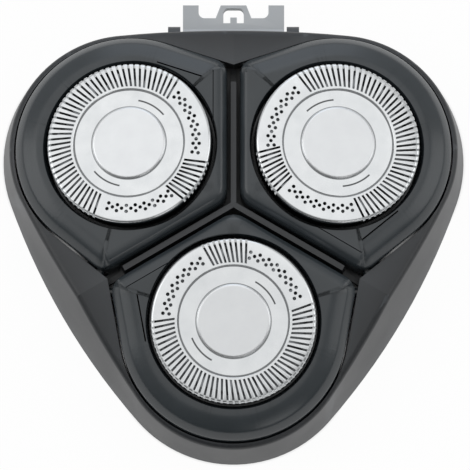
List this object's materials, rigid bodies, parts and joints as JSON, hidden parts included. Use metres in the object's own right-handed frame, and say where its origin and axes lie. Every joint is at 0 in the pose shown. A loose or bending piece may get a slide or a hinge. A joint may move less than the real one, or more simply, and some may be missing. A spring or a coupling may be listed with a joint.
{
  "type": "rotary shaver head",
  "caption": "Rotary shaver head unit with floating slotted steel guards in a rounded trefoil frame, spinning cutters, a quarter-turn lock knob and a rear hinge bracket.",
  "frame": {"origin": "on the floor under the middle of the lock knob, in the plane of the skirt's rim, where the shaver's body seats", "axes": "+Z towards the shaving face, +Y towards the hinge bracket at the rear, +X to the right seen from above with the bracket at the top"},
  "size_m": [0.0632, 0.0635, 0.0158],
  "materials": {
    "black_moulding": "satin gloss",
    "shell_moulding": "satin gloss",
    "guard_steel": "polished with fine turning lines",
    "cap_steel": "satin",
    "cutter_steel": "ground",
    "carrier_moulding": "matt",
    "spring_steel": "rolled",
    "retainer_moulding": "matt",
    "knob_moulding": "matt",
    "bracket_moulding": "matt",
    "pin_steel": "polished"
  },
  "bodies": {
    "frame": {"outer_frame": "black_moulding", "retaining_frame": "retainer_moulding", "finger_spring_front": "spring_steel", "finger_spring_right": "spring_steel", "finger_spring_left": "spring_steel", "hinge_pin": "pin_steel"},
    "lock_knob": {"lock_knob": "knob_moulding"},
    "shell_front": {"head_shell_front": "shell_moulding"},
    "guard_front": {"guard_front": "guard_steel", "head_cap_front": "cap_steel"},
    "cutter_front": {"cutter_front": "cutter_steel", "cutter_carrier_front": "carrier_moulding"},
    "shell_right": {"head_shell_right": "shell_moulding"},
    "guard_right": {"guard_right": "guard_steel", "head_cap_right": "cap_steel"},
    "cutter_right": {"cutter_right": "cutter_steel", "cutter_carrier_right": "carrier_moulding"},
    "shell_left": {"head_shell_left": "shell_moulding"},
    "guard_left": {"guard_left": "guard_steel", "head_cap_left": "cap_steel"},
    "cutter_left": {"cutter_left": "cutter_steel", "cutter_carrier_left": "carrier_moulding"},
    "hinge_bracket": {"hinge_bracket": "bracket_moulding"}
  },
  "joints": [
    {"name": "lock_knob_turn", "type": "hinge", "parent": "frame", "child": "lock_knob", "pos_m": [0, 0, 0.003], "axis": [0, 0, 1], "range_deg": [0, 90]},
    {"name": "shell_rock_front", "type": "hinge", "parent": "frame", "child": "shell_front", "pos_m": [0, -0.0115, 0.0089], "axis": [1, 0, 0], "range_deg": [-3, 3], "stiffness_Nm_per_rad": 0.1, "deforming": ["finger_spring_front"]},
    {"name": "guard_float_front", "type": "slide", "parent": "shell_front", "child": "guard_front", "axis": [0, -0.1392, 0.9903], "range_m": [-0.0005, 0], "stiffness_N_per_m": 400, "springref_m": 0.0005, "deforming": ["finger_spring_front"]},
    {"name": "cutter_spin_front", "type": "hinge", "parent": "guard_front", "child": "cutter_front", "pos_m": [0, -0.0165, 0.0144], "axis": [0, -0.1392, 0.9903], "continuous": true},
    {"name": "shell_rock_right", "type": "hinge", "parent": "frame", "child": "shell_right", "pos_m": [0.00996, 0.00575, 0.0089], "axis": [-0.5, 0.866, 0], "range_deg": [-3, 3], "stiffness_Nm_per_rad": 0.1, "deforming": ["finger_spring_right"]},
    {"name": "guard_float_right", "type": "slide", "parent": "shell_right", "child": "guard_right", "axis": [0.1205, 0.0696, 0.9903], "range_m": [-0.0005, 0], "stiffness_N_per_m": 400, "springref_m": 0.0005, "deforming": ["finger_spring_right"]},
    {"name": "cutter_spin_right", "type": "hinge", "parent": "guard_right", "child": "cutter_right", "pos_m": [0.01429, 0.00825, 0.0144], "axis": [0.1205, 0.0696, 0.9903], "continuous": true},
    {"name": "shell_rock_left", "type": "hinge", "parent": "frame", "child": "shell_left", "pos_m": [-0.00996, 0.00575, 0.0089], "axis": [-0.5, -0.866, 0], "range_deg": [-3, 3], "stiffness_Nm_per_rad": 0.1, "deforming": ["finger_spring_left"]},
    {"name": "guard_float_left", "type": "slide", "parent": "shell_left", "child": "guard_left", "axis": [-0.1205, 0.0696, 0.9903], "range_m": [-0.0005, 0], "stiffness_N_per_m": 400, "springref_m": 0.0005, "deforming": ["finger_spring_left"]},
    {"name": "cutter_spin_left", "type": "hinge", "parent": "guard_left", "child": "cutter_left", "pos_m": [-0.01429, 0.00825, 0.0144], "axis": [-0.1205, 0.0696, 0.9903], "continuous": true},
    {"name": "bracket_fold", "type": "hinge", "parent": "frame", "child": "hinge_bracket", "pos_m": [0, 0.0254, 0.0026], "axis": [1, 0, 0], "range_deg": [-90, 20]}
  ]
}
